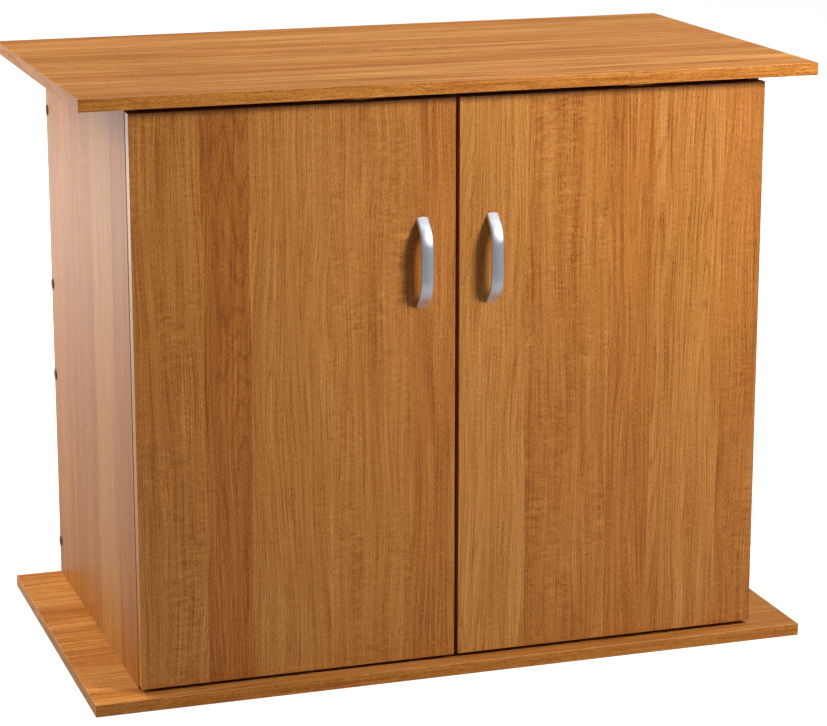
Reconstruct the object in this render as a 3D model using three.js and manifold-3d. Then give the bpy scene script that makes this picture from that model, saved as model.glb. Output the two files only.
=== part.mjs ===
// Two-door cabinet stand for an aquarium, in millimetres.
// X runs along the front, Y from front to back, Z up. The origin is the centre of the underside.
import * as THREE from 'three';
import { mergeVertices } from 'three/addons/utils/BufferGeometryUtils.js';
import Module from 'manifold-3d';

const wasm = await Module();
wasm.setup();

// ---- driving dimensions ----
const HEIGHT = 725;
const BOARD_WIDTH = 900;          // top and base boards, the footprint of a standard tank
const BOARD_DEPTH = 500;
const BODY_WIDTH = 780;           // over the outer faces of the side panels
const BOARD = 15;                 // thickness of every panel
const DOOR_SETBACK = 20;          // door front behind the front edge of the boards
const DOOR_BACK_GAP = 4;          // door back to the front edges of the side panels
const DOOR_GAP = 5;               // between the two doors
const DOOR_TOP_GAP = 7.5;
const DOOR_BOTTOM_GAP = 5;
const PANEL_MARGIN = 44;          // side screws to the ends of the back panel that they hold
const LOWER_BACK_HEIGHT = 316;
const CABLE_SLOT = 33;            // between the lower and the upper back panel
const HOSE_SLOT = 31;             // above the upper back panel

const HANDLE_LENGTH = 108;
const HANDLE_WIDTH = 15;
const HANDLE_HEIGHT = 509.5;      // centre of the handles above the floor
const HANDLE_INSET = 41;          // centre of a handle to the meeting edge of its door
const HANDLE_REACH = 19.5;        // door face to the middle of the bar
const HANDLE_BAR = 66;            // between the corners that the bends round off
const HANDLE_BEND = 16;           // how far a bend reaches from its corner
const HANDLE_SCREW_SPACING = 88;

const CUP_RADIUS = 17.2;
const CUP_DEPTH = 11.5;
const CUP_SIDES = 32;
const CUP_INSET = 22.5;           // cup centre to the outer edge of the door
const HINGE_END_DISTANCE = 100;   // hinge centre to the end of the door
const PLATE_LINE = 37;            // mounting plate screws to the front edge of the side panel
const ARM_REACH = 16;             // arm tip pin to the inner face of the side panel
const ARM_TIP_Y = 4.5;            // arm tip pin in front of the door's back face
const LINK_LENGTH = 20;
const LINK_LIFT = 7.25;           // angle of the closed links to the door, degrees

// ---- derived places ----
const FRONT = -BOARD_DEPTH / 2;
const REAR = BOARD_DEPTH / 2;
const TOP_UNDER = HEIGHT - BOARD;
const OUTER_X = BODY_WIDTH / 2;
const INNER_X = OUTER_X - BOARD;
const DOOR_FRONT = FRONT + DOOR_SETBACK;
const DOOR_BACK = DOOR_FRONT + BOARD;
const SIDE_FRONT = DOOR_BACK + DOOR_BACK_GAP;
const DOOR_LOW = BOARD + DOOR_BOTTOM_GAP;
const DOOR_HIGH = TOP_UNDER - DOOR_TOP_GAP;
const BACK_FRONT = REAR - BOARD;
const BACK_MIDDLE = REAR - BOARD / 2;
const LOWER_BACK = [BOARD, BOARD + LOWER_BACK_HEIGHT];
const UPPER_BACK = [LOWER_BACK[1] + CABLE_SLOT, TOP_UNDER - HOSE_SLOT];
const SCREW_HEIGHTS = [LOWER_BACK, UPPER_BACK].flatMap(
  ([low, high]) => [low + PANEL_MARGIN, high - PANEL_MARGIN]);
const HINGE_HEIGHTS = { lower: DOOR_LOW + HINGE_END_DISTANCE, upper: DOOR_HIGH - HINGE_END_DISTANCE };
const CAM_HEIGHT = TOP_UNDER - 34;
const CAM_DEPTHS = { front: -140, rear: 140 };
const SIDES = { left: -1, right: 1 };

// ---- materials ----
const finish = (color, roughness, metalness) =>
  new THREE.MeshStandardMaterial({ color, roughness, metalness });
const laminate = finish(0xb9763c, 0.45, 0);
const satinMetal = finish(0xb4b8bd, 0.3, 1);
const nickel = finish(0xc8c6c0, 0.25, 1);
const zinc = finish(0xa9abad, 0.4, 1);
const brownPlastic = finish(0x3a1c10, 0.5, 0);
const clearRubber = finish(0xd8d6cf, 0.5, 0);

// ---- solids ----
function solid(geometry) {
  const bare = geometry.clone();
  bare.deleteAttribute('normal');
  bare.deleteAttribute('uv');
  const merged = mergeVertices(bare);
  return new wasm.Manifold(new wasm.Mesh({
    numProp: 3,
    vertProperties: new Float32Array(merged.attributes.position.array),
    triVerts: new Uint32Array(merged.index.array),
  }));
}

function geometryOf(body) {
  const mesh = body.getMesh();
  const geometry = new THREE.BufferGeometry();
  geometry.setAttribute('position', new THREE.BufferAttribute(mesh.vertProperties, 3));
  geometry.setIndex(new THREE.BufferAttribute(mesh.triVerts, 1));
  return geometry;
}

// Joins the first list of geometries and cuts the second list out of them.
function shaped(added, removed = []) {
  const [first, ...others] = added.map(solid);
  const joined = others.reduce((body, other) => body.add(other), first);
  return geometryOf(removed.map(solid).reduce((body, other) => body.subtract(other), joined));
}

function block([x0, x1], [y0, y1], [z0, z1]) {
  const box = new THREE.BoxGeometry(Math.abs(x1 - x0), y1 - y0, z1 - z0);
  return box.translate((x0 + x1) / 2, (y0 + y1) / 2, (z0 + z1) / 2);
}

// A rod from one place to another along X or Y.
const rodX = (radius, [x0, x1], y, z, segments = 20) =>
  new THREE.CylinderGeometry(radius, radius, Math.abs(x1 - x0), segments)
    .rotateZ(Math.PI / 2).translate((x0 + x1) / 2, y, z);
const rodY = (radius, [y0, y1], x, z, segments = 20) =>
  new THREE.CylinderGeometry(radius, radius, y1 - y0, segments).translate(x, (y0 + y1) / 2, z);

// An outline in the XY plane, given height along Z about z = 0.
const upright = (shape, height) =>
  new THREE.ExtrudeGeometry(shape, { depth: height, bevelEnabled: false, curveSegments: 8 })
    .translate(0, 0, -height / 2);

function piece(name, geometry, material, [x, y, z] = [0, 0, 0]) {
  const mesh = new THREE.Mesh(geometry, material);
  mesh.name = name;
  mesh.position.set(x, y, z);
  return mesh;
}

// ---- carcass ----
const CAM_RADIUS = 7.3;
const CAM_LENGTH = 12;
const FIT_GAP = 0.3;

function camBores(faceX, intoPanel) {
  const reach = [faceX - intoPanel, faceX + intoPanel * (CAM_LENGTH + FIT_GAP)];
  return Object.values(CAM_DEPTHS).map((y) => rodX(CAM_RADIUS + FIT_GAP, reach, y, CAM_HEIGHT));
}

function boards() {
  const plan = [[-BOARD_WIDTH / 2, BOARD_WIDTH / 2], [FRONT, REAR]];
  return [
    piece('top_board', block(...plan, [TOP_UNDER, HEIGHT]), laminate),
    piece('base_board', block(...plan, [0, BOARD]), laminate),
  ];
}

const SCREW_HEAD = 5;
const SCREW_SHANK = 3.5;
const SCREW_LENGTH = 48;
const SCREW_SUNK = 0.5;           // screw head below the outer face
const CAP_RADIUS = 7;
const CAP_HEIGHT = 1.8;

function sidePanel(side, sign) {
  const panel = block([sign * INNER_X, sign * OUTER_X], [SIDE_FRONT, REAR], [BOARD, TOP_UNDER]);
  const holes = SCREW_HEIGHTS.flatMap((z) => [
    rodX(SCREW_SHANK + FIT_GAP, [sign * (INNER_X - 1), sign * (OUTER_X + 1)], BACK_MIDDLE, z),
    rodX(SCREW_HEAD + FIT_GAP, [sign * (OUTER_X - 5), sign * (OUTER_X + 1)], BACK_MIDDLE, z),
  ]);
  const bores = camBores(sign * INNER_X, sign);
  return piece(`${side}_side_panel`, shaped([panel], [...holes, ...bores]), laminate);
}

function centreUpright() {
  const panel = block([-BOARD / 2, BOARD / 2], [SIDE_FRONT, BACK_FRONT], [BOARD, TOP_UNDER]);
  return piece('centre_upright', shaped([panel], camBores(-BOARD / 2, 1)), laminate);
}

function backPanel(name, [low, high]) {
  const panel = block([-INNER_X, INNER_X], [BACK_FRONT, REAR], [low, high]);
  const reach = INNER_X - (SCREW_LENGTH - BOARD) - 1;
  const pilot = (sign, z) =>
    rodX(SCREW_SHANK + FIT_GAP, [sign * reach, sign * (INNER_X + 1)], BACK_MIDDLE, z);
  const pilots = [low + PANEL_MARGIN, high - PANEL_MARGIN].flatMap((z) => [pilot(-1, z), pilot(1, z)]);
  return piece(name, shaped([panel], pilots), laminate);
}

// ---- fasteners ----
// Turned about X: the profile's second value is the distance from the head's face towards the tip.
function turned(profile, sign) {
  const points = profile.map(([radius, along]) => new THREE.Vector2(radius, along));
  return new THREE.LatheGeometry(points, 14).rotateZ(sign * Math.PI / 2);
}

function sideScrews(side, sign) {
  const profile = [[0, 0], [SCREW_HEAD, 0], [SCREW_HEAD, 1], [SCREW_SHANK, 3],
    [SCREW_SHANK, SCREW_LENGTH - 5], [0, SCREW_LENGTH]];
  const capProfile = [[0, -CAP_HEIGHT], [CAP_RADIUS - 0.9, -CAP_HEIGHT + 0.3],
    [CAP_RADIUS, -CAP_HEIGHT + 1.1], [CAP_RADIUS, 0], [0, 0]];
  return SCREW_HEIGHTS.flatMap((z, index) => [
    piece(`${side}_side_screw_${index + 1}`, turned(profile, sign), zinc,
      [sign * (OUTER_X - SCREW_SUNK), BACK_MIDDLE, z]),
    piece(`${side}_screw_cap_${index + 1}`, turned(capProfile, sign), brownPlastic,
      [sign * OUTER_X, BACK_MIDDLE, z]),
  ]);
}

// Two crossed slots for a screwdriver, sunk along X.
const crossSlots = (depth, length) => [[1, length], [length, 1]].map(([wide, tall]) =>
  block(depth, [-wide / 2, wide / 2], [-tall / 2, tall / 2]));

function camLock(name, faceX, intoPanel, y) {
  const barrel = rodX(CAM_RADIUS, [FIT_GAP * intoPanel, CAM_LENGTH * intoPanel], 0, 0);
  return piece(name, shaped([barrel], crossSlots([-2, 2], 9)), zinc, [faceX, y, CAM_HEIGHT]);
}

const camLocks = () => Object.entries(CAM_DEPTHS).flatMap(([place, y]) => [
  ...Object.entries(SIDES).map(([side, sign]) =>
    camLock(`${side}_cam_lock_${place}`, sign * INNER_X, sign, y)),
  camLock(`centre_cam_lock_${place}`, -BOARD / 2, 1, y),
]);

// ---- doors and handles ----
const HANDLE_SCREW_RADIUS = 2;
const HANDLE_SCREW_REACH = 4.5;   // into the handle from the door face
const BOSS_RADIUS = 4;
const BOSS_LENGTH = 5.5;

function door(side, sign) {
  const panel = block([sign * DOOR_GAP / 2, sign * OUTER_X], [DOOR_FRONT, DOOR_BACK], [DOOR_LOW, DOOR_HIGH]);
  const boreDepth = [DOOR_BACK - CUP_DEPTH - 0.5, DOOR_BACK + 1];
  const bores = Object.values(HINGE_HEIGHTS).map((z) =>
    rodY(CUP_RADIUS + FIT_GAP, boreDepth, sign * (OUTER_X - CUP_INSET), z, CUP_SIDES));
  const holes = handleScrewPlaces(sign).map(([x, , z]) =>
    rodY(HANDLE_SCREW_RADIUS + FIT_GAP, [DOOR_FRONT - 1, DOOR_BACK + 1], x, z, 16));
  return piece(`${side}_door`, shaped([panel], [...bores, ...holes]), laminate);
}

function handleScrewPlaces(sign) {
  const x = sign * (DOOR_GAP / 2 + HANDLE_INSET);
  return [-1, 1].map((end) => [x, DOOR_BACK, HANDLE_HEIGHT + end * HANDLE_SCREW_SPACING / 2]);
}

// A bow: two slanted legs, two round bends and a straight bar, in the YZ plane from the door face.
function handlePath() {
  const path = new THREE.CurvePath();
  const at = (reach, height) => new THREE.Vector3(0, -reach, height);
  const foot = HANDLE_LENGTH / 2 - 3.5;
  const knee = HANDLE_BAR / 2;
  const slope = (foot - knee) / HANDLE_REACH;
  const onLeg = HANDLE_REACH - HANDLE_BEND * 0.75;
  const legHeight = foot - slope * onLeg;
  const bendEnd = knee - HANDLE_BEND;
  const behind = 5;
  path.add(new THREE.LineCurve3(at(-behind, -(foot + slope * behind)), at(onLeg, -legHeight)));
  path.add(new THREE.QuadraticBezierCurve3(
    at(onLeg, -legHeight), at(HANDLE_REACH, -knee), at(HANDLE_REACH, -bendEnd)));
  path.add(new THREE.LineCurve3(at(HANDLE_REACH, -bendEnd), at(HANDLE_REACH, bendEnd)));
  path.add(new THREE.QuadraticBezierCurve3(
    at(HANDLE_REACH, bendEnd), at(HANDLE_REACH, knee), at(onLeg, legHeight)));
  path.add(new THREE.LineCurve3(at(onLeg, legHeight), at(-behind, foot + slope * behind)));
  return path;
}

// Strap section: flat inside, crowned outside.
function strapSection() {
  const half = HANDLE_WIDTH / 2;
  const section = new THREE.Shape();
  section.moveTo(-half, -2.2);
  section.lineTo(half, -2.2);
  section.lineTo(half, 0.9);
  section.quadraticCurveTo(0, 3.9, -half, 0.9);
  section.closePath();
  return section;
}

function handle(side, sign) {
  const strap = new THREE.ExtrudeGeometry(strapSection(), {
    extrudePath: handlePath(), steps: 30, curveSegments: 4, bevelEnabled: false });
  const ends = [-1, 1].map((end) => end * HANDLE_SCREW_SPACING / 2);
  const bosses = ends.map((z) => rodY(BOSS_RADIUS, [-BOSS_LENGTH, 0], 0, z));
  const holes = ends.map((z) =>
    rodY(HANDLE_SCREW_RADIUS + FIT_GAP, [-HANDLE_SCREW_REACH - 0.5, 1], 0, z, 16));
  const doorSide = block([-20, 20], [0, 20], [-HANDLE_LENGTH, HANDLE_LENGTH]);
  const place = [sign * (DOOR_GAP / 2 + HANDLE_INSET), DOOR_FRONT, HANDLE_HEIGHT];
  return piece(`${side}_handle`, shaped([strap, ...bosses], [doorSide, ...holes]), satinMetal, place);
}

function handleScrews(side, sign) {
  const names = [`${side}_handle_screw_lower`, `${side}_handle_screw_upper`];
  return handleScrewPlaces(sign).map((place, index) => {
    const head = rodY(4, [0, 2.2], 0, 0, 20);
    const shank = rodY(HANDLE_SCREW_RADIUS, [-BOARD - HANDLE_SCREW_REACH, 0.5], 0, 0, 16);
    const slots = [[1, 5], [5, 1]].map(([wide, tall]) =>
      block([-wide / 2, wide / 2], [1.2, 3], [-tall / 2, tall / 2]));
    return piece(names[index], shaped([head, shank], slots), zinc, place);
  });
}

const BUMPER_RADIUS = 2.6;
const BUMPER_HEIGHT = 3.4;

// Soft pads on the free edge of each door, which meet the front edge of the centre upright.
function bumpers(side, sign) {
  const pad = rodY(BUMPER_RADIUS, [0, BUMPER_HEIGHT], 0, 0, 16);
  const x = sign * (DOOR_GAP / 2 + BUMPER_RADIUS + 0.2);
  const heights = { lower: DOOR_LOW + 30, upper: DOOR_HIGH - 30 };
  return Object.entries(heights).map(([level, z]) =>
    piece(`${side}_door_bumper_${level}`, pad, clearRubber, [x, DOOR_BACK, z]));
}

// ---- concealed hinges, one at each hinge height of each door ----
const PIN_RADIUS = 1.2;
const PLATE_THICK = 2.2;
const PLATE_HALF = 26;            // half the length of the plate's wings
const PLATE_HOLE = 16;            // screw holes above and below the plate's middle
const RAIL_RISE = 8;
const ARM_OUTSIDE = 19;
const ARM_INSIDE = 16;
const CUP_WALL = 1.2;
const EAR_HALF = 24;
const EAR_THICK = 1;

function hingePlate(sign) {
  const inward = (d0, d1) => [-sign * d0, -sign * d1];
  const wings = block(inward(0, PLATE_THICK), [-6, 6], [-PLATE_HALF, PLATE_HALF]);
  const foot = block(inward(0, PLATE_THICK), [-19, 25], [-9, 9]);
  const rail = block(inward(PLATE_THICK - 0.2, RAIL_RISE), [-17, 23], [-6, 6]);
  const screwHoles = [-PLATE_HOLE, PLATE_HOLE].map((z) => rodX(2.2, inward(-1, 4), 0, z, 16));
  return shaped([wings, foot, rail], screwHoles);
}

// Side view of the channel arm: first value inwards from the side panel, second value along Y.
function armOutline(sign, tipY) {
  const outline = new THREE.Shape();
  const corners = [[4.5, 24], [12, 24], [12, -20], [ARM_REACH + 2.5, tipY + 9]];
  corners.forEach(([inward, y], index) => outline[index ? 'lineTo' : 'moveTo'](-sign * inward, y));
  const [from, to] = sign < 0 ? [0, -Math.PI] : [Math.PI, 2 * Math.PI];
  outline.absarc(-sign * ARM_REACH, tipY, 2.5, from, to, sign < 0);
  outline.lineTo(-sign * (ARM_REACH - 2.5), tipY + 5.5);
  outline.lineTo(-sign * 5.5, -28);
  outline.lineTo(-sign * 4.5, -24);
  outline.closePath();
  return outline;
}

function hingeArm(sign, tipY) {
  const corners = [[3, 25], [10.8, 25], [10.8, -20.4], [17.3, tipY + 8.6], [17.3, tipY + 7],
    [20, tipY + 7], [20, tipY - 4], [3, tipY - 4]];
  const inside = new THREE.Shape(corners.map(([inward, y]) => new THREE.Vector2(-sign * inward, y)));
  const pinHole = new THREE.CylinderGeometry(PIN_RADIUS + 0.25, PIN_RADIUS + 0.25, 30, 16)
    .rotateX(Math.PI / 2).translate(-sign * ARM_REACH, tipY, 0);
  return shaped([upright(armOutline(sign, tipY), ARM_OUTSIDE)], [upright(inside, ARM_INSIDE), pinHole]);
}

// A flat link that turns on the arm's tip pin and reaches into the cup.
function hingeLink(sign) {
  const half = 1.6;
  const bar = new THREE.Shape();
  bar.absarc(0, 0, half, Math.PI / 2, 1.5 * Math.PI);
  bar.absarc(LINK_LENGTH, 0, half, -Math.PI / 2, Math.PI / 2);
  bar.closePath();
  const heading = sign < 0 ? 180 - LINK_LIFT : LINK_LIFT;
  const pin = new THREE.CylinderGeometry(PIN_RADIUS, PIN_RADIUS, ARM_OUTSIDE - 0.4, 16).rotateX(Math.PI / 2);
  return shaped([upright(bar, 10).rotateZ(heading * Math.PI / 180), pin]);
}

function hingeCup(sign) {
  const shell = rodY(CUP_RADIUS, [-CUP_DEPTH, EAR_THICK / 2], 0, 0, CUP_SIDES);
  const collar = rodY(CUP_RADIUS + 1.8, [0, EAR_THICK], 0, 0, CUP_SIDES);
  const ears = block([-sign * 1, -sign * 13], [0, EAR_THICK], [-EAR_HALF, EAR_HALF]);
  const earEnds = [-EAR_HALF, EAR_HALF].map((z) => rodY(6, [0, EAR_THICK], -sign * 7, z, 20));
  const hollow = rodY(CUP_RADIUS - CUP_WALL, [-CUP_DEPTH + 1, 2], 0, 0, CUP_SIDES);
  const linkNotch = block([sign * 11.5, sign * 19.5], [-4.5, 2], [-6.5, 6.5]);
  return shaped([shell, collar, ears, ...earEnds], [hollow, linkNotch]);
}

function hinges(side, sign) {
  const lineY = SIDE_FRONT + PLATE_LINE;
  const tipY = DOOR_BACK - ARM_TIP_Y;
  const cupX = sign * (OUTER_X - CUP_INSET);
  return Object.entries(HINGE_HEIGHTS).flatMap(([level, z]) => [
    piece(`${side}_hinge_plate_${level}`, hingePlate(sign), nickel, [sign * INNER_X, lineY, z]),
    piece(`${side}_hinge_arm_${level}`, hingeArm(sign, tipY - lineY), nickel, [sign * INNER_X, lineY, z]),
    piece(`${side}_hinge_link_${level}`, hingeLink(sign), nickel, [sign * (INNER_X - ARM_REACH), tipY, z]),
    piece(`${side}_hinge_cup_${level}`, hingeCup(sign), nickel, [cupX, DOOR_BACK, z]),
  ]);
}

// ---- assembly ----
const stand = new THREE.Group();
stand.add(...boards(), centreUpright());
stand.add(backPanel('lower_back_panel', LOWER_BACK), backPanel('upper_back_panel', UPPER_BACK));
stand.add(...camLocks());
for (const [side, sign] of Object.entries(SIDES)) {
  stand.add(sidePanel(side, sign), ...sideScrews(side, sign));
  stand.add(door(side, sign), handle(side, sign), ...handleScrews(side, sign));
  stand.add(...bumpers(side, sign), ...hinges(side, sign));
}
export default stand;
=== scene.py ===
# Looks of the two-door aquarium stand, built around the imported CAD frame. Metres, +Z up, front towards -Y.
import math

import bmesh
import bpy
from mathutils import Matrix, Vector


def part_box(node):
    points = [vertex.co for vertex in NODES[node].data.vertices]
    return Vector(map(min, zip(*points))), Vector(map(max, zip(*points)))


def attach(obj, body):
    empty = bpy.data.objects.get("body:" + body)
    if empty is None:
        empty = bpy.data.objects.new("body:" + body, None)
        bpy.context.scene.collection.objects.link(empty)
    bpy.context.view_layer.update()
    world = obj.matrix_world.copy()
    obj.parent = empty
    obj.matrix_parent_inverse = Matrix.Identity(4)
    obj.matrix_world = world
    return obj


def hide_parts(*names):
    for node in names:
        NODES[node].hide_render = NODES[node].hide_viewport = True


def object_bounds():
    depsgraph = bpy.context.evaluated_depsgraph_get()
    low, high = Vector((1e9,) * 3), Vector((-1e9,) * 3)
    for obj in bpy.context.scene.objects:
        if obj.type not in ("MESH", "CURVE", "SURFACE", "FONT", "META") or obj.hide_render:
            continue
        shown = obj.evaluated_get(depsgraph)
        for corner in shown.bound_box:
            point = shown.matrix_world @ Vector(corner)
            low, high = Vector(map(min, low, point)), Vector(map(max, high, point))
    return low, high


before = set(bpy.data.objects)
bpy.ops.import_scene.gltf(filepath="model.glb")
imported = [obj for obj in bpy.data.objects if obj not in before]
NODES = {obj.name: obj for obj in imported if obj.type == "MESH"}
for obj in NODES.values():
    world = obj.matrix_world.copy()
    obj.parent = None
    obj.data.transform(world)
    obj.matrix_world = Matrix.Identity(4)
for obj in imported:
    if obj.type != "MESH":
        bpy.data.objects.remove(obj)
cad_bounds = [list(corner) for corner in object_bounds()]
SIDES = {"left": -1, "right": 1}
LEVELS = ("lower", "upper")
CAPS_PER_SIDE = 4

# Wood foil: linear colours from the dark end of its tone to the light end, and tints laid over them
WOOD_TONES = [
    (0.0, (0.110, 0.029, 0.004, 1)),
    (0.3, (0.245, 0.080, 0.011, 1)),
    (0.5, (0.380, 0.147, 0.027, 1)),
    (0.7, (0.485, 0.222, 0.056, 1)),
    (1.0, (0.640, 0.350, 0.135, 1)),
]
WOOD_RED = (1.04, 0.88, 0.80, 1)
LONG_EDGE_TINT = (1.0, 0.93, 0.64, 1)
# Pale colour mixed onto the rounded edges: a painted highlight, and wear
EDGE_HIGHLIGHT_AND_WEAR = (0.62, 0.40, 0.22, 1)
HIGHLIGHT_AND_WEAR_SHARE = 0.4                        # share of the pale edge colour along the rounded edges: a painted highlight, and wear
EDGE_ROUND = 0.0007

# Staves of each panel from its low end: width, tone, redness, cross figure, growth rings
LEFT_DOOR = [
    (0.081, 0.47, 0.10, 0.8, 0.1),
    (0.057, 0.40, 0.60, 0.1, 0.6),
    (0.096, 0.53, 0.00, 0.2, 0.4),
    (0.098, 0.50, 0.15, 0.9, 0.1),
    (0.054, 0.46, 0.45, 0.1, 0.3),
]
RIGHT_DOOR = [
    (0.083, 0.56, 0.00, 0.3, 0.5),
    (0.105, 0.47, 0.30, 0.9, 0.1),
    (0.058, 0.46, 0.50, 0.2, 0.4),
    (0.089, 0.53, 0.15, 0.3, 0.9),
    (0.051, 0.47, 0.40, 0.7, 0.1),
]
SIDE = [
    (0.085, 0.45, 0.55, 0.1, 0.3),
    (0.110, 0.59, 0.00, 0.2, 0.4),
    (0.145, 0.47, 0.35, 0.7, 0.2),
    (0.122, 0.51, 0.25, 0.2, 0.5),
]
BOARD = [
    (0.052, 0.49, 0.30, 0.1, 0.3),
    (0.078, 0.55, 0.10, 0.2, 0.5),
    (0.060, 0.46, 0.45, 0.3, 0.2),
    (0.092, 0.53, 0.20, 0.2, 0.6),
    (0.070, 0.48, 0.40, 0.3, 0.2),
    (0.083, 0.55, 0.15, 0.3, 0.4),
    (0.066, 0.50, 0.30, 0.1, 0.3),
]
EDGE_BAND = (0.53, 0.20, 0.1, 0.2, 1.0)   # tone, redness, cross figure, growth rings, boldness

# Boldness of the streaks and lowest roughness of each panel's foil
PLAIN_FOIL = (1.0, 0.36)
TOP_FOIL = (2.2, 0.52)
BASE_FOIL = (1.4, 0.46)

# Print of the foil, each layer a noise: its cycles per metre along the grain, across it and into the board,
# then its detail, roughness and distortion
WANDER = ((2.4, 11.0, 9.0), 2.0, 0.5, 0.0)
FINE_GRAIN = ((7.0, 900.0, 700.0), 3.0, 0.75, 0.0)
STREAKS = ((3.0, 230.0, 200.0), 3.0, 0.6, 0.2)
BANDS = ((2.6, 46.0, 40.0), 2.0, 0.5, 0.5)
DASHES = ((260.0, 950.0, 800.0), 2.0, 0.7, 0.0)
PORES = ((48.0, 1000.0, 800.0), 1.0, 0.4, 0.0)
RING_FIELD = ((1.3, 17.0, 14.0), 2.0, 0.3, 0.1)
CURL = ((210.0, 52.0, 40.0), 2.0, 0.6, 0.8)
CURL_PATCHES = ((9.0, 30.0, 20.0), 3.0, 0.6, 0.5)
WANDER_REACH = 0.008              # how far the grain strays to its side
RING_COUNT = 34.0                 # growth rings over the range of the ring field
STAVE_SHIFT = 31.0                # moves the print along the grain, times the tone of the stave
JOINT_LINE = 0.0022               # width of the pale line between two staves
JOINT_BREAKS = 7.0                # noise cycles per metre of that line

# Parts of a noise's range: most of it, nearly all of it, and where each mark of the print fades in
MOST = (0.3, 0.7)
NEARLY_ALL = (0.25, 0.75)
PORE_FADE = (0.66, 0.73)
CURL_FADE = (0.36, 0.66)
PATCH_FADE = (0.42, 0.68)
JOINT_FADE = (0.40, 0.58)
RING_FADE = (0.0, 0.20)           # of a growth ring to each side, as a share of the way to the next one

# Surface of the foil
FACES = 0.6                       # a surface faces an axis where its normal's part along it is larger
CORNER_FADE = (0.80, 0.99)        # the same part, from where a rounded corner gets the most painted highlight and wear to where it gets none
FOIL_BUMP = (0.12, 0.0004)        # strength and depth
FOIL_ROUGHNESS_RANGE = 0.12
EDGE_GLOSS = 0.12                 # how much less rough the edges are
FOIL_SPECULAR = 0.32

# What each layer of the print adds to the tone
FINE_AMOUNT = 0.26
STREAK_AMOUNT = 0.09
BAND_AMOUNT = 0.05
DASH_AMOUNT = 0.20
PORE_AMOUNT = -0.22
RING_AMOUNT = -0.17
CURL_AMOUNT = 0.13
JOINT_AMOUNT = 0.13

# Metal, plastic, rubber and paper: linear colours, the range of their roughness, the cycles per metre and
# detail of their noise, and the strength and depth of their bump
SATIN_COLOUR = (0.82, 0.87, 0.95, 1)
SATIN_ROUGHNESS = (0.34, 0.44)
SATIN_BRUSHING = ((2600.0, 2600.0, 160.0), 3.0, 0.6, 0.0)
SATIN_FADE = (0.2, 0.8)
SATIN_BUMP = (0.05, 0.0002)
NICKEL_COLOUR = (0.66, 0.64, 0.60, 1)
NICKEL_ROUGHNESS = (0.19, 0.36)
ZINC_COLOUR = (0.55, 0.55, 0.54, 1)
ZINC_ROUGHNESS = (0.29, 0.46)
PLATING_NOISE = (300.0, 3.0)
PLATING_BUMP = (0.08, 0.0003)
PLASTIC_TONES = [(0.3, (0.075, 0.016, 0.008, 1)), (0.7, (0.110, 0.026, 0.013, 1))]
PLASTIC_ROUGHNESS = (0.38, 0.52)
PLASTIC_NOISE = (900.0, 2.0)
PLASTIC_BUMP = (0.15, 0.0002)
RUBBER_COLOUR = (0.80, 0.79, 0.75, 1)
RUBBER_ROUGHNESS = (0.22, 0.4)
RUBBER_NOISE = (400.0, 2.0)
RUBBER_TRANSMISSION = 0.55
PAPER_TONES = [(0.3, (0.29, 0.29, 0.29, 1)), (0.7, (0.31, 0.31, 0.31, 1))]
PAPER_NOISE = (60.0, 4.0)
PAPER_ROUGHNESS = 0.9
PAPER_GLOW = 0.88

# Bow handles: a strap that is flat inside and crowned outside
HANDLE_WIDTH = 0.015
HANDLE_THICK = 0.0040
HANDLE_CROWN = 0.0010
HANDLE_EDGE = 0.0012              # radius of the strap's two edges
HANDLE_FOOT = 0.0505              # where the strap's middle meets the door, from the handle's centre
HANDLE_KNEE = 0.033               # where the lines of leg and bar cross
HANDLE_BEND = 0.016               # how far the bend reaches along the bar, from where the lines cross
LEG_BEND = 0.75                   # how far it reaches towards the door, as a share of that
HANDLE_ARCH = 0.0004              # how far the middle of the bar stands out past its ends
LEG_STEPS = 5
BEND_STEPS = 14
BAR_STEPS = 5
SECTION_STEPS = 20

# Turned pieces: (radius, height) from the face that they stand on
BOSS_PROFILE = [(0.0, 0.0), (0.0040, 0.0), (0.0037, 0.0048), (0.0033, 0.0054), (0.0, 0.0054)]
CAP_PROFILE = [
    (0.0, 0.0), (0.0070, 0.0), (0.0070, 0.0004), (0.0067, 0.0009),
    (0.0060, 0.0013), (0.0050, 0.0015), (0.0028, 0.0017), (0.0, 0.0018),
]
BUMPER_PROFILE = [
    (0.0, 0.0), (0.0026, 0.0), (0.0026, 0.0017), (0.0024, 0.0024),
    (0.0018, 0.0030), (0.0009, 0.0033), (0.0, 0.0034),
]
SMOOTH_SEGMENTS = 40
BUMPER_SEGMENTS = 32
SCREW_SEGMENTS = 28

# Screw heads: profile and cross recess as shares of the head's radius and height
SCREW_PROFILE = [(0.0, 0.0), (1.0, 0.0), (1.0, 0.25), (0.93, 0.55), (0.75, 0.85), (0.45, 1.0), (0.0, 1.0)]
CROSS_LENGTH = 1.15
CROSS_WIDTH = 0.24                # as a share of the cross's length
CROSS_DEPTH = 0.7
SMALL_HEAD = (0.0033, 0.0014)     # radius and height
ADJUSTING_HEAD = (0.0028, 0.0012)

# Hinge screws, measured from their own hinge parts
PLATE_THICK = 0.0022
PLATE_WING = 0.019                # from the plate's front end to the middle of its two wings
PLATE_SPREAD = 0.016              # of the wing screws, above and below the hinge's middle
ARM_WEB = 0.0075                  # from the arm's outer side to the face that its screws sit in
ARM_SHIFTS = (-0.007, 0.014)
EAR_SHIFT = 0.007                 # of the cup's ears, away from the door's edge
EAR_SPREAD = 0.024
FIXING_ROUND = 0.00025

# Modifiers and shading of the pieces
WELD_REACH = 0.00002
FLAT_ANGLE = math.radians(1)      # below it, neighbouring facets are one flat face
SHARP_ANGLE = math.radians(40)    # above it, an edge is sharp
STRAP_SHARP_ANGLE = math.radians(35)

# Camera: degrees and millimetres
CAMERA_AT = (-1.0581, -3.2579, 1.2019)
CAMERA_TURN = -18.34
CAMERA_DOWN = 14.29
CAMERA_LENS = 121.6
CAMERA_REACH = 50.0

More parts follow.
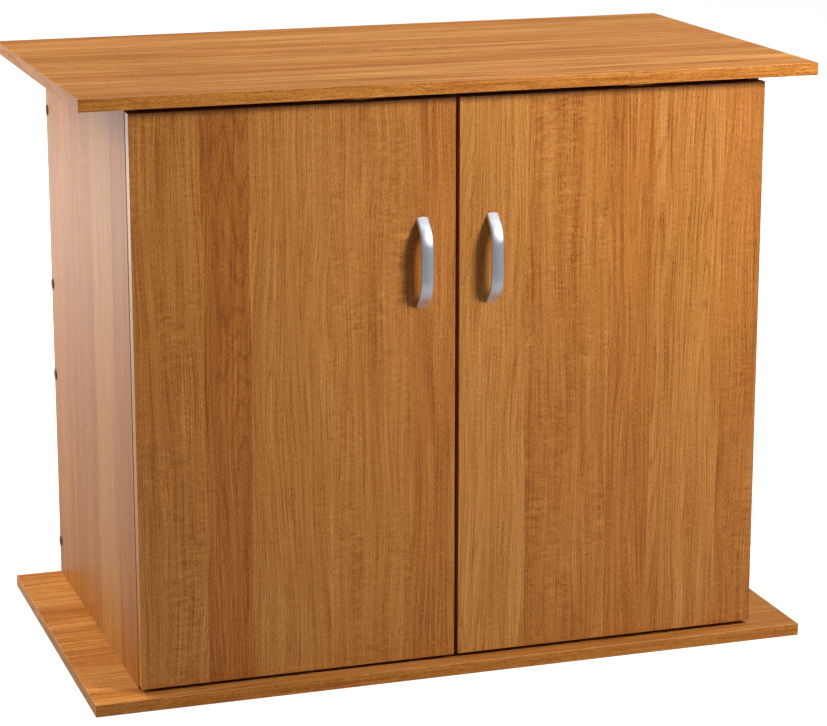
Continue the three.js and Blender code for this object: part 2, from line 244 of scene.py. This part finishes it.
# Softboxes: place, target, size, watts and colour
KEY_AT = (0.88, -1.31, 1.35)
KEY_TARGET = (0.0, -0.2, 0.42)
KEY_LIGHT = (KEY_AT, KEY_TARGET, (0.40, 0.40), 38.0, (1.0, 0.98, 0.95))
KEY_SHEEN = (KEY_AT, KEY_TARGET, (0.50, 0.50), 17.1, (1, 1, 1))
FILL_LIGHT = ((-1.75, 0.70, 1.28), (-0.4, 0.0, 0.40), (1.2, 1.2), 24.5, (1.0, 0.95, 0.94))
OVERHEAD_LIGHT = ((0.80, 0.05, 2.4), (0.6, 0.05, 0.7), (2.2, 2.0), 22.0, (0.94, 1.0, 1.04))
BACKDROP_LIGHT = ((-1.05, 3.3, 1.8), (-1.0, 3.0, 0.0), (1.8, 1.4), 400.0, (1, 1, 1))
AMBIENT = 0.17
SURROUND = 1.0

# Paper floor, a round sheet
FLOOR_RADIUS = 7.7
FLOOR_MIDDLE = 6.5
FLOOR_DROP = 0.0005
FLOOR_SEGMENTS = 96


# ---- node helpers ----
class Graph:
    """A new material with short calls for its nodes."""

    def __init__(self, name):
        self.material = bpy.data.materials.new(name)
        self.material.use_nodes = True
        self.tree = self.material.node_tree
        self.shader = self.tree.nodes["Principled BSDF"]
        self.coordinates = self.tree.nodes.new("ShaderNodeTexCoord")
        self.place = self.coordinates.outputs["Object"]

    def set(self, socket, value):
        """Links a socket to the value, or writes the value into it."""
        if isinstance(value, bpy.types.NodeSocket):
            self.tree.links.new(value, socket)
        else:
            socket.default_value = value

    def add(self, kind, inputs=(), **properties):
        node = self.tree.nodes.new("ShaderNode" + kind)
        for key, value in properties.items():
            setattr(node, key, value)
        for key, value in dict(inputs).items():
            self.set(node.inputs[key], value)
        return node

    def math(self, operation, first, second=0.0):
        return self.add("Math", {0: first, 1: second}, operation=operation).outputs[0]

    def times(self, vector, factors):
        return self.add("VectorMath", {0: vector, 1: factors}, operation="MULTIPLY").outputs[0]

    def noise(self, vector, scale, detail=3.0, roughness=0.5, distortion=0.0):
        inputs = {
            "Vector": vector,
            "Scale": scale,
            "Detail": detail,
            "Roughness": roughness,
            "Distortion": distortion,
        }
        return self.add("TexNoise", inputs).outputs["Fac"]

    def stretched_noise(self, space, settings):
        """Noise with its own scale along each axis."""
        scales, detail, roughness, distortion = settings
        return self.noise(self.times(space, scales), 1.0, detail, roughness, distortion)

    def spread(self, value, low, high, to_low=0.0, to_high=1.0):
        """Maps the range low to high onto the range to_low to to_high, and clamps it there."""
        inputs = {"Value": value, "From Min": low, "From Max": high, "To Min": to_low, "To Max": to_high}
        return self.add("MapRange", inputs).outputs[0]

    def signed(self, value, low, high):
        return self.spread(value, low, high, -1.0, 1.0)

    def pick(self, factor, first, second):
        """The first number where the factor is 0, and the second where it is 1."""
        return self.add("Mix", {0: factor, 2: first, 3: second}).outputs[0]

    def blend(self, factor, first, second, kind="MIX"):
        node = self.add("Mix", {0: factor, 6: first, 7: second}, data_type="RGBA", blend_type=kind)
        return node.outputs[2]

    def tint(self, factor, colour, tinting):
        return self.blend(factor, colour, self.blend(1.0, colour, tinting, "MULTIPLY"))

    def ramp_node(self, value, stops, steps=False):
        node = self.add("ValToRGB", {0: value})
        elements = node.color_ramp.elements
        node.color_ramp.interpolation = "CONSTANT" if steps else "LINEAR"
        while len(elements) < len(stops):
            elements.new(1.0)
        for element, (place, colour) in zip(elements, stops):
            element.position = place
            element.color = colour
        return node

    def ramp(self, value, stops, steps=False):
        return self.ramp_node(value, stops, steps).outputs["Color"]

    def bump(self, height, strength, distance):
        inputs = {"Height": height, "Strength": strength, "Distance": distance}
        self.set(self.shader.inputs["Normal"], self.add("Bump", inputs).outputs[0])

    def finish(self, **values):
        """Writes the shader's sockets and returns the material."""
        sockets = {
            "colour": "Base Color",
            "metal": "Metallic",
            "roughness": "Roughness",
            "specular": "Specular IOR Level",
            "transmission": "Transmission Weight",
        }
        for key, value in values.items():
            self.set(self.shader.inputs[sockets[key]], value)
        return self.material


# ---- wood foil ----
def stave_values(graph, place, staves, start):
    """Tone, redness, cross figure and growth rings of the stave at a place."""
    total = sum(stave[0] for stave in staves)
    edges = [sum(stave[0] for stave in staves[:index]) / total for index in range(len(staves))]
    stops = [(edge, stave[1:]) for edge, stave in zip(edges, staves)]
    ramp = graph.ramp_node(graph.spread(place, start, start + total), stops, steps=True)
    parts = graph.add("SeparateColor", {0: ramp.outputs["Color"]}).outputs
    return parts[0], parts[1], parts[2], ramp.outputs["Alpha"]


def joint_lines(graph, place, staves, start):
    """Thin pale lines where two staves meet, broken up along their length."""
    total = sum(stave[0] for stave in staves)
    half = JOINT_LINE / 2 / total
    stops = [(0.0, (0, 0, 0, 1))]
    edge = 0.0
    for stave in staves[:-1]:
        edge += stave[0] / total
        stops += [(edge - half, (1, 1, 1, 1)), (edge + half, (0, 0, 0, 1))]
    line = graph.ramp(graph.spread(place, start, start + total), stops, steps=True)
    kept = graph.spread(graph.noise(graph.place, JOINT_BREAKS, 2.0), *JOINT_FADE)
    return graph.math("MULTIPLY", line, kept)


def grain_space(graph, grain, across, on_end, tone):
    """Object coordinates with the grain along X and the staves across Y, shifted along in each stave."""
    here = graph.add("SeparateXYZ", {0: graph.place}).outputs
    third = next(axis for axis in "XYZ" if axis not in (grain, across))
    along = graph.pick(on_end, here[grain], here[across])
    side = graph.pick(on_end, here[across], here[grain])
    shifted = graph.math("ADD", along, graph.math("MULTIPLY", tone, STAVE_SHIFT))
    return graph.add("CombineXYZ", {"X": shifted, "Y": side, "Z": here[third]}).outputs[0]


def wandering(graph, space):
    """Lets the grain stray to the side along its length."""
    wave = graph.signed(graph.stretched_noise(space, WANDER), *MOST)
    aside = graph.add("CombineXYZ", {"Y": graph.math("MULTIPLY", wave, WANDER_REACH)}).outputs[0]
    return graph.add("VectorMath", {0: space, 1: aside}, operation="ADD").outputs[0]


def growth_rings(graph, space, rings):
    """Thin dark contours, as strong as the stave's share of rings."""
    field = graph.stretched_noise(space, RING_FIELD)
    lines = graph.math("PINGPONG", graph.math("MULTIPLY", field, RING_COUNT), 0.5)
    return graph.math("MULTIPLY", graph.spread(lines, *RING_FADE, 1.0, 0.0), rings)


def cross_curl(graph, space, figure):
    """Short waves across the grain, in patches, as strong as the stave's share of figure."""
    waves = graph.signed(graph.stretched_noise(space, CURL), *CURL_FADE)
    patches = graph.spread(graph.stretched_noise(space, CURL_PATCHES), *PATCH_FADE)
    return graph.math("MULTIPLY", graph.math("MULTIPLY", waves, patches), figure)


def printed_tone(graph, space, tone, figure, rings, bold):
    """Tone of the print and, for the bump, its fine grain."""
    fine = graph.stretched_noise(space, FINE_GRAIN)
    streaks = graph.signed(graph.stretched_noise(space, STREAKS), *MOST)
    bands = graph.signed(graph.stretched_noise(space, BANDS), *MOST)
    dashes = graph.signed(graph.stretched_noise(space, DASHES), *NEARLY_ALL)
    pores = graph.spread(graph.stretched_noise(space, PORES), *PORE_FADE)
    layers = [
        (graph.signed(fine, *NEARLY_ALL), FINE_AMOUNT),
        (streaks, graph.math("MULTIPLY", bold, STREAK_AMOUNT)),
        (bands, graph.math("MULTIPLY", bold, BAND_AMOUNT)),
        (dashes, DASH_AMOUNT),
        (pores, PORE_AMOUNT),
        (growth_rings(graph, space, rings), RING_AMOUNT),
        (cross_curl(graph, space, figure), CURL_AMOUNT),
    ]
    for layer, amount in layers:
        tone = graph.math("ADD", tone, graph.math("MULTIPLY", layer, amount))
    return tone, fine


def facing(graph, grain, face):
    """Masks of the ends across the grain, of all the edges, and of the rounded corners between faces."""
    normal = graph.add("SeparateXYZ", {0: graph.coordinates.outputs["Normal"]}).outputs
    out = {axis: graph.math("ABSOLUTE", normal[axis]) for axis in "XYZ"}
    on_end = graph.math("GREATER_THAN", out[grain], FACES)
    on_edge = graph.math("LESS_THAN", out[face], FACES)
    steepest = graph.math("MAXIMUM", graph.math("MAXIMUM", out["X"], out["Y"]), out["Z"])
    # Painted highlight and wear: strongest where a rounded corner faces no axis
    corner_highlight_and_wear = graph.spread(steepest, *CORNER_FADE, HIGHLIGHT_AND_WEAR_SHARE, 0.0)
    return on_end, on_edge, corner_highlight_and_wear


def laminate(name, grain, across, face, staves, start, foil=PLAIN_FOIL):
    """Printed wood foil, with the axes along its grain, across its staves and out of its face."""
    bold, matt = foil
    graph = Graph(name)
    on_end, on_edge, corner_highlight_and_wear = facing(graph, grain, face)
    across_place = graph.add("SeparateXYZ", {0: graph.place}).outputs[across]

    on_face = (*stave_values(graph, across_place, staves, start), bold)
    values = [graph.pick(on_edge, value, plain) for value, plain in zip(on_face, EDGE_BAND)]
    tone, redness, figure, rings, bold = values
    space = wandering(graph, grain_space(graph, grain, across, on_end, tone))
    printed, fine = printed_tone(graph, space, tone, figure, rings, bold)
    line_amount = graph.spread(on_edge, 0.0, 1.0, JOINT_AMOUNT, 0.0)
    line = graph.math("MULTIPLY", joint_lines(graph, across_place, staves, start), line_amount)

    colour = graph.ramp(graph.math("ADD", printed, line), WOOD_TONES)
    colour = graph.tint(redness, colour, WOOD_RED)
    colour = graph.tint(graph.math("SUBTRACT", on_edge, on_end), colour, LONG_EDGE_TINT)
    # Pale painted highlight, and wear, on the rounded edges
    colour = graph.blend(corner_highlight_and_wear, colour, EDGE_HIGHLIGHT_AND_WEAR)
    graph.bump(fine, *FOIL_BUMP)
    satin = graph.spread(fine, *MOST, matt, matt + FOIL_ROUGHNESS_RANGE)
    roughness = graph.math("SUBTRACT", satin, graph.math("MULTIPLY", on_edge, EDGE_GLOSS))
    return graph.finish(colour=colour, roughness=roughness, specular=FOIL_SPECULAR)


# ---- other materials ----
def satin_metal():
    """Pale anodised metal, brushed along its length."""
    graph = Graph("satin_metal")
    brushed = graph.stretched_noise(graph.place, SATIN_BRUSHING)
    graph.bump(brushed, *SATIN_BUMP)
    roughness = graph.spread(brushed, *SATIN_FADE, *SATIN_ROUGHNESS)
    return graph.finish(colour=SATIN_COLOUR, metal=1.0, roughness=roughness)


def plated(name, colour, roughness_range):
    """Plated steel with faint mottling, for hinges and fixings."""
    graph = Graph(name)
    mottle = graph.noise(graph.place, *PLATING_NOISE)
    graph.bump(mottle, *PLATING_BUMP)
    roughness = graph.spread(mottle, *MOST, *roughness_range)
    return graph.finish(colour=colour, metal=1.0, roughness=roughness)


def brown_plastic():
    """Moulded plastic with a fine grain, for the screw caps."""
    graph = Graph("brown_plastic")
    grain = graph.noise(graph.place, *PLASTIC_NOISE)
    graph.bump(grain, *PLASTIC_BUMP)
    roughness = graph.spread(grain, *MOST, *PLASTIC_ROUGHNESS)
    return graph.finish(colour=graph.ramp(grain, PLASTIC_TONES), roughness=roughness)


def clear_rubber():
    """Hazy see-through rubber, for the bumpers."""
    graph = Graph("clear_rubber")
    haze = graph.noise(graph.place, *RUBBER_NOISE)
    roughness = graph.spread(haze, *MOST, *RUBBER_ROUGHNESS)
    return graph.finish(colour=RUBBER_COLOUR, transmission=RUBBER_TRANSMISSION, roughness=roughness)


def floor_paper():
    """White paper that looks lit from behind, without lighting the stand from below."""
    graph = Graph("floor_paper")
    tooth = graph.noise(graph.place, *PAPER_NOISE)
    graph.finish(colour=graph.ramp(tooth, PAPER_TONES), roughness=PAPER_ROUGHNESS)
    paper = graph.shader.outputs[0]
    glow = graph.add("Emission", {"Color": (1, 1, 1, 1), "Strength": PAPER_GLOW}).outputs[0]
    glowing = graph.add("AddShader", {0: paper, 1: glow}).outputs[0]
    direct = graph.add("LightPath").outputs["Is Camera Ray"]
    seen = graph.add("MixShader", {0: direct, 1: paper, 2: glowing}).outputs[0]
    graph.set(graph.tree.nodes["Material Output"].inputs["Surface"], seen)
    return graph.material


# ---- mesh helpers ----
def mesh_object(name, mesh, material):
    piece = bpy.data.objects.new(name, mesh)
    bpy.context.scene.collection.objects.link(piece)
    if not mesh.materials:
        mesh.materials.append(material)
    return piece


def from_rings(name, rings):
    """A closed mesh through rings with the same number of points, with flat ends."""
    form = bmesh.new()
    made = [[form.verts.new(point) for point in ring] for ring in rings]
    count = len(rings[0])
    for low, high in zip(made, made[1:]):
        for index in range(count):
            after = (index + 1) % count
            form.faces.new((low[index], low[after], high[after], high[index]))
    form.faces.new(list(reversed(made[0])))
    form.faces.new(made[-1])
    bmesh.ops.recalc_face_normals(form, faces=form.faces)
    mesh = bpy.data.meshes.new(name)
    form.to_mesh(mesh)
    form.free()
    mesh.shade_smooth()
    return mesh


def turned(name, profile, segments=SMOOTH_SEGMENTS):
    """A mesh turned about Z from (radius, height) points, closed at both ends."""
    turns = [2 * math.pi * index / segments for index in range(segments)]
    rings = []
    for radius, height in profile:
        rings.append([(radius * math.cos(turn), radius * math.sin(turn), height) for turn in turns])
    mesh = from_rings(name, rings)
    mesh.set_sharp_from_angle(angle=SHARP_ANGLE)
    return mesh


def cross_block(length, depth, top):
    """Two crossed bars, centred on the top of a screw head."""
    form = bmesh.new()
    width = length * CROSS_WIDTH
    for wide, tall in ((length, width), (width, length)):
        bar = bmesh.ops.create_cube(form, size=1.0)["verts"]
        bmesh.ops.scale(form, vec=(wide, tall, depth * 2), verts=bar)
        bmesh.ops.translate(form, vec=(0, 0, top), verts=bar)
    mesh = bpy.data.meshes.new("cross")
    form.to_mesh(mesh)
    form.free()
    return mesh


def cut_away(mesh, cutter_mesh):
    """A new mesh: the first one without the space of the second."""
    body = bpy.data.objects.new("body", mesh)
    cutter = bpy.data.objects.new("cutter", cutter_mesh)
    for item in (body, cutter):
        bpy.context.scene.collection.objects.link(item)
    cut = body.modifiers.new("cut", "BOOLEAN")
    cut.object = cutter
    cut.operation = "DIFFERENCE"
    cut.solver = "EXACT"
    cut.use_self = True
    result = bpy.data.meshes.new_from_object(body.evaluated_get(bpy.context.evaluated_depsgraph_get()))
    bpy.data.objects.remove(body)
    bpy.data.objects.remove(cutter)
    return result


def aim(piece, place, direction):
    """Puts a turned piece at a place with its +Z towards a direction."""
    turn = Vector(direction).to_track_quat("Z", "Y").to_matrix().to_4x4()
    piece.matrix_world = Matrix.Translation(place) @ turn


def middle(node):
    low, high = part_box(node)
    return (low + high) / 2


def dress(node, material, edge):
    """Gives a CAD node its material and a fine round on its sharp edges."""
    piece = NODES[node]
    piece.data.materials.clear()
    piece.data.materials.append(material)
    weld = piece.modifiers.new("weld", "WELD")
    weld.merge_threshold = WELD_REACH
    flat = piece.modifiers.new("flat", "DECIMATE")
    flat.decimate_type = "DISSOLVE"
    flat.angle_limit = FLAT_ANGLE
    bevel = piece.modifiers.new("edges", "BEVEL")
    bevel.width = edge
    bevel.segments = 2
    bevel.limit_method = "ANGLE"
    bevel.angle_limit = SHARP_ANGLE
    bevel.harden_normals = True


# ---- panels ----
def dress_panel(node, material_name, axes, staves, foil=PLAIN_FOIL):
    """Foil with the given axes along its grain, across its staves and out of its face."""
    grain, across, face = axes
    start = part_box(node)[0]["XYZ".index(across)]
    dress(node, laminate(material_name, grain, across, face, staves, start, foil), EDGE_ROUND)


def dress_panels():
    dress_panel("left_door", "left_door_foil", "ZXY", LEFT_DOOR)
    dress_panel("right_door", "right_door_foil", "ZXY", RIGHT_DOOR)
    for side in SIDES:
        dress_panel(side + "_side_panel", side + "_side_panel_foil", "ZYX", SIDE)
    dress_panel("centre_upright", "upright_foil", "ZYX", SIDE)
    dress_panel("top_board", "top_board_foil", "XYZ", BOARD, TOP_FOIL)
    dress_panel("base_board", "base_board_foil", "XYZ", BOARD, BASE_FOIL)
    for level in LEVELS:
        dress_panel(level + "_back_panel", level + "_back_panel_foil", "XZY", BOARD)


# ---- handles ----
def curve_point(points, share):
    """A place on the quadratic curve of three points."""
    weights = ((1 - share) ** 2, 2 * share * (1 - share), share ** 2)
    return sum((weight * Vector(point) for weight, point in zip(weights, points)), Vector((0, 0)))


def handle_path(reach):
    """Middle line of the bow from its lower foot to its upper one, as (out of the door, height) points."""
    slope = (HANDLE_FOOT - HANDLE_KNEE) / reach
    leg_top = reach - HANDLE_BEND * LEG_BEND
    leg_height = HANDLE_FOOT - slope * leg_top
    bar_end = HANDLE_KNEE - HANDLE_BEND
    bar_out = reach - HANDLE_ARCH
    bend = [(leg_top, -leg_height), (bar_out, -HANDLE_KNEE), (bar_out, -bar_end)]
    bar = [(bar_out, -bar_end), (reach, -bar_end / 2), (reach, 0)]
    half = []
    for index in range(LEG_STEPS):
        out = leg_top * index / LEG_STEPS
        half.append(Vector((out, slope * out - HANDLE_FOOT)))
    half += [curve_point(bend, index / BEND_STEPS) for index in range(BEND_STEPS)]
    half += [curve_point(bar, index / BAR_STEPS) for index in range(BAR_STEPS + 1)]
    return half + [Vector((out, -height)) for out, height in reversed(half[:-1])]


def strap_section():
    """Half width and thickness points of the strap, round at its two edges."""
    half = HANDLE_WIDTH / 2
    outside = []
    inside = []
    for index in range(SECTION_STEPS + 1):
        across = half * math.cos(math.pi * index / SECTION_STEPS)
        crown = HANDLE_CROWN * (1 - (across / half) ** 2)
        sunk = max(0.0, abs(across) - half + HANDLE_EDGE) / HANDLE_EDGE
        corner = HANDLE_EDGE * (1 - math.sqrt(max(0.0, 1 - sunk ** 2)))
        outside.append((across, HANDLE_THICK / 2 + crown - corner))
        inside.append((-across, -HANDLE_THICK / 2 + corner))
    return outside + inside


def strap_rings(path, section, origin):
    """Sections along the bow, square to it, and cut flat by the door at both feet."""
    rings = []
    last = len(path) - 1
    for index, (out, height) in enumerate(path):
        way = (path[min(index + 1, last)] - path[max(index - 1, 0)]).normalized()
        ring = []
        for across, thick in section:
            point = Vector((out + thick * way.y, height - thick * way.x))
            if index in (0, last):
                point -= way * (point.x / way.x)
            ring.append((origin.x + across, origin.y - point.x, origin.z + point.y))
        rings.append(ring)
    return rings


def build_bow(side, material):
    """The bow of one handle, in place of its plain CAD node."""
    node = side + "_handle"
    low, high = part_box(node)
    origin = Vector(((low.x + high.x) / 2, high.y, (low.z + high.z) / 2))
    reach = high.y - low.y - HANDLE_THICK / 2 - HANDLE_CROWN
    mesh = from_rings(node + "_bow", strap_rings(handle_path(reach), strap_section(), origin))
    mesh.set_sharp_from_angle(angle=STRAP_SHARP_ANGLE)
    bow = mesh_object(node + "_bow", mesh, material)
    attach(bow, side + "_door")
    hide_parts(node)


def build_bosses(side, material):
    """The round bosses between the handle's feet and the door."""
    door_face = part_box(side + "_handle")[1].y
    for level in LEVELS:
        screw = middle(f"{side}_handle_screw_{level}")
        boss = mesh_object(f"{side}_handle_boss_{level}", turned("boss", BOSS_PROFILE), material)
        aim(boss, (screw.x, door_face, screw.z), (0, -1, 0))
        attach(boss, side + "_door")


def build_handles():
    material = satin_metal()
    for side in SIDES:
        build_bow(side, material)
        build_bosses(side, material)


# ---- fixings ----
def screw_mesh(name, head, material):
    """A screw head with a cross recess."""
    radius, height = head
    profile = [(radius * across, height * up) for across, up in SCREW_PROFILE]
    cross = cross_block(radius * CROSS_LENGTH, height * CROSS_DEPTH, height)
    mesh = cut_away(turned(name, profile, SCREW_SEGMENTS), cross)
    mesh.materials.append(material)
    return mesh


def hinge_screw_places(side, level):
    """Place and direction of the two screws in the plate, the cup's ears and the arm of one hinge."""
    sign = SIDES[side]
    inward = (-sign, 0, 0)
    plate, cup, arm = (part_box(f"{side}_hinge_{part}_{level}") for part in ("plate", "cup", "arm"))
    centre = (plate[0] + plate[1]) / 2
    plate_side, arm_side = (plate[0].x, arm[0].x) if sign < 0 else (plate[1].x, arm[1].x)
    wing = (plate_side - sign * PLATE_THICK, plate[0].y + PLATE_WING)
    ear = ((cup[0].x + cup[1].x) / 2 - sign * EAR_SHIFT, cup[1].y)
    web = arm_side - sign * ARM_WEB
    return {
        "plate": [((*wing, centre.z + end * PLATE_SPREAD), inward) for end in (-1, 1)],
        "cup": [((*ear, centre.z + end * EAR_SPREAD), (0, 1, 0)) for end in (-1, 1)],
        "arm": [((web, centre.y + shift, centre.z), inward) for shift in ARM_SHIFTS],
    }


def build_hinge_screws(zinc):
    small = screw_mesh("hinge_screw", SMALL_HEAD, zinc)
    adjusting = screw_mesh("adjusting_screw", ADJUSTING_HEAD, zinc)
    meshes = {"plate": small, "cup": small, "arm": adjusting}
    for side in SIDES:
        bodies = {"plate": "carcass", "cup": side + "_door", "arm": "carcass"}
        for level in LEVELS:
            for part, places in hinge_screw_places(side, level).items():
                for number, (place, direction) in enumerate(places, 1):
                    screw = mesh_object(f"{side}_{part}_screw_{level}_{number}", meshes[part], zinc)
                    aim(screw, place, direction)
                    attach(screw, bodies[part])


def build_screw_caps():
    material = brown_plastic()
    mesh = turned("screw_cap", CAP_PROFILE)
    for side, sign in SIDES.items():
        for index in range(1, CAPS_PER_SIDE + 1):
            node = f"{side}_screw_cap_{index}"
            low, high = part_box(node)
            centre = middle(node)
            cap = mesh_object(f"{node}_domed", mesh, material)
            aim(cap, (high.x if sign < 0 else low.x, centre.y, centre.z), (sign, 0, 0))
            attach(cap, "carcass")
            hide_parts(node)


def build_bumpers():
    material = clear_rubber()
    mesh = turned("bumper", BUMPER_PROFILE, BUMPER_SEGMENTS)
    for side in SIDES:
        for level in LEVELS:
            node = f"{side}_door_bumper_{level}"
            centre = middle(node)
            pad = mesh_object(f"{node}_dome", mesh, material)
            aim(pad, (centre.x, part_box(node)[0].y, centre.z), (0, 1, 0))
            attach(pad, side + "_door")
            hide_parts(node)


def is_zinc_fixing(node):
    is_screw = "_screw_" in node and "_cap_" not in node
    return is_screw or "_cam_lock_" in node


def dress_fixings(nickel, zinc):
    for node in NODES:
        if "_hinge_" in node:
            dress(node, nickel, FIXING_ROUND)
        elif is_zinc_fixing(node):
            dress(node, zinc, FIXING_ROUND)


# ---- stage ----
def build_floor():
    form = bmesh.new()
    bmesh.ops.create_circle(form, cap_ends=True, segments=FLOOR_SEGMENTS, radius=FLOOR_RADIUS)
    mesh = bpy.data.meshes.new("floor")
    form.to_mesh(mesh)
    form.free()
    floor = mesh_object("floor", mesh, floor_paper())
    floor.location = (0.0, FLOOR_MIDDLE, cad_bounds[0][2] - FLOOR_DROP)


def build_camera():
    data = bpy.data.cameras.new("camera")
    data.lens = CAMERA_LENS
    data.clip_end = CAMERA_REACH
    camera = bpy.data.objects.new("camera", data)
    bpy.context.scene.collection.objects.link(camera)
    camera.location = CAMERA_AT
    turn = math.radians(CAMERA_TURN)
    down = math.radians(CAMERA_DOWN)
    level = math.cos(down)
    forward = Vector((-math.sin(turn) * level, math.cos(turn) * level, -math.sin(down)))
    camera.rotation_euler = forward.to_track_quat("-Z", "Y").to_euler()
    bpy.context.scene.camera = camera


def soft_light(name, place, target, size, power, colour):
    data = bpy.data.lights.new(name, "AREA")
    data.shape = "RECTANGLE"
    data.size = size[0]
    data.size_y = size[1]
    data.energy = power
    data.color = colour
    light = bpy.data.objects.new(name, data)
    bpy.context.scene.collection.objects.link(light)
    light.location = place
    light.rotation_euler = (Vector(target) - Vector(place)).to_track_quat("-Z", "Y").to_euler()
    light.visible_camera = False
    return light


def build_lights():
    """The key's highlights come from a light of their own, so that the top board has no burnt-out glare."""
    key = soft_light("key", *KEY_LIGHT)
    key.visible_glossy = False
    sheen = soft_light("key_sheen", *KEY_SHEEN)
    sheen.visible_diffuse = False
    soft_light("fill", *FILL_LIGHT)
    soft_light("overhead", *OVERHEAD_LIGHT)
    backdrop = soft_light("backdrop", *BACKDROP_LIGHT)
    backdrop.visible_glossy = False


def build_world():
    """White where the camera sees past the floor, and a dim even light everywhere else."""
    world = bpy.data.worlds.new("studio")
    bpy.context.scene.world = world
    world.use_nodes = True
    nodes = world.node_tree.nodes
    links = world.node_tree.links
    ambient = nodes["Background"]
    surround = nodes.new("ShaderNodeBackground")
    for background, strength in ((ambient, AMBIENT), (surround, SURROUND)):
        background.inputs["Color"].default_value = (1, 1, 1, 1)
        background.inputs["Strength"].default_value = strength
    path = nodes.new("ShaderNodeLightPath")
    mix = nodes.new("ShaderNodeMixShader")
    links.new(path.outputs["Is Camera Ray"], mix.inputs[0])
    links.new(ambient.outputs[0], mix.inputs[1])
    links.new(surround.outputs[0], mix.inputs[2])
    links.new(mix.outputs[0], nodes["World Output"].inputs["Surface"])
    bpy.context.scene.view_settings.view_transform = "Standard"


zinc_plate = plated("zinc", ZINC_COLOUR, ZINC_ROUGHNESS)
dress_panels()
dress_fixings(plated("nickel", NICKEL_COLOUR, NICKEL_ROUGHNESS), zinc_plate)
build_handles()
build_hinge_screws(zinc_plate)
build_screw_caps()
build_bumpers()
build_floor()
build_camera()
build_lights()
build_world()
